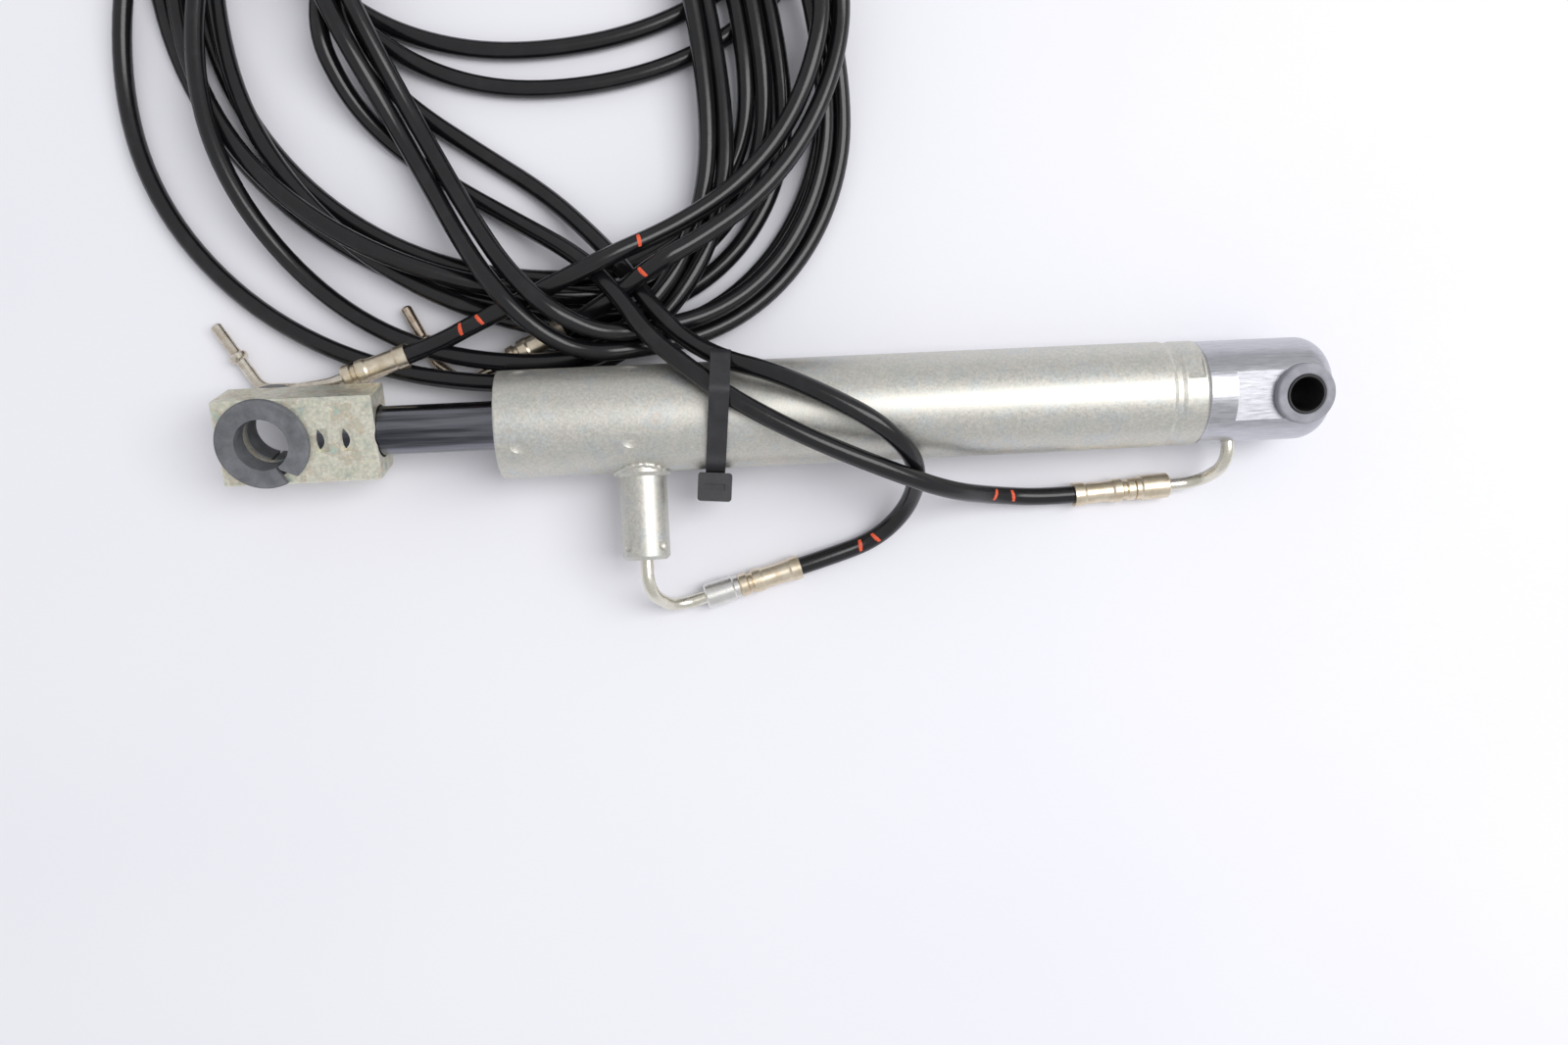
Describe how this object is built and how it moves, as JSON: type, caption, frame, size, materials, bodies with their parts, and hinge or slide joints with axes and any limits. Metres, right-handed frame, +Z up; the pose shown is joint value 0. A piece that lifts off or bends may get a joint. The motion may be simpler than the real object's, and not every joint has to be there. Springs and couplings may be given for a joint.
{
  "type": "linear actuator",
  "caption": "Slim hydraulic linear actuator: crimped steel barrel, bushed end-cap eye, rod with rubber-bushed eye block, side port stub, thin black hoses in a loose coil, beaded nozzles.",
  "frame": {"origin": "middle of the cap eye's bore, on the barrel's axis", "axes": "+X along the barrel from the rod eye to the cap eye, +Z up with the barrel lying flat, +Y towards the hose coil"},
  "size_m": [0.2986, 0.2397, 0.0352],
  "materials": {
    "zinc_steel": "zinc plated with a pale yellow passivation, satin",
    "block_steel": "yellow zinc plated, mottled and worn, satin",
    "cap_aluminium": "machined aluminium, satin",
    "cap_bush": "dark grey bush, matte",
    "liner_black": "black liner in the cap eye, dry",
    "pipe_steel": "zinc plated pipe, satin",
    "collar_steel": "zinc plated, satin",
    "crimp_gold": "pale gold passivated crimp, semi gloss",
    "tail_bronze": "dull bronze passivated pipe, satin",
    "rod_black": "blackened polished rod, glossy",
    "bearing_bronze": "sintered bronze",
    "seal_rubber": "nitrile rubber, matte",
    "eye_rubber": "grey black rubber, matte",
    "nylon_black": "black nylon, satin",
    "hose_black": "black plastic hose cover, semi gloss"
  },
  "bodies": {
    "barrel": {"barrel_tube": "zinc_steel", "rod_guide": "cap_aluminium", "rod_wiper": "seal_rubber", "rod_seal": "seal_rubber", "guide_bearing": "bearing_bronze", "guide_o_ring": "seal_rubber", "end_cap": "cap_aluminium", "cap_o_ring": "seal_rubber", "cap_eye_bush": "cap_bush", "cap_eye_liner": "liner_black", "port_nipple": "zinc_steel", "rod_port_pipe": "pipe_steel", "rod_port_collar": "collar_steel", "rod_port_sleeve": "crimp_gold", "cap_port_pipe": "pipe_steel", "cap_port_collar": "crimp_gold", "cap_port_sleeve": "crimp_gold", "tail_a_sleeve": "crimp_gold", "tail_a_pipe": "tail_bronze", "tail_b_sleeve": "crimp_gold", "tail_b_pipe": "tail_bronze", "tie_strap": "nylon_black", "tie_head": "nylon_black", "rod_port_hose": "hose_black", "cap_port_hose": "hose_black", "hose_coil": "hose_black", "tail_a_hose": "hose_black", "tail_b_hose": "hose_black"},
    "piston_rings": {"piston_seal": "seal_rubber", "piston_wear_ring": "bearing_bronze"},
    "rod": {"rod": "rod_black", "piston": "cap_aluminium", "piston_nut": "zinc_steel", "rod_eye_block": "block_steel", "rod_eye_bush_upper": "eye_rubber", "rod_eye_bush_lower": "eye_rubber"}
  },
  "joints": [
    {"name": "rod_slide", "type": "slide", "parent": "barrel", "child": "piston_rings", "axis": [-1, 0, 0], "range_m": [0, 0.1]},
    {"name": "rod_turn", "type": "hinge", "parent": "piston_rings", "child": "rod", "pos_m": [-0.2525, 0, 0], "axis": [1, 0, 0], "continuous": true}
  ]
}
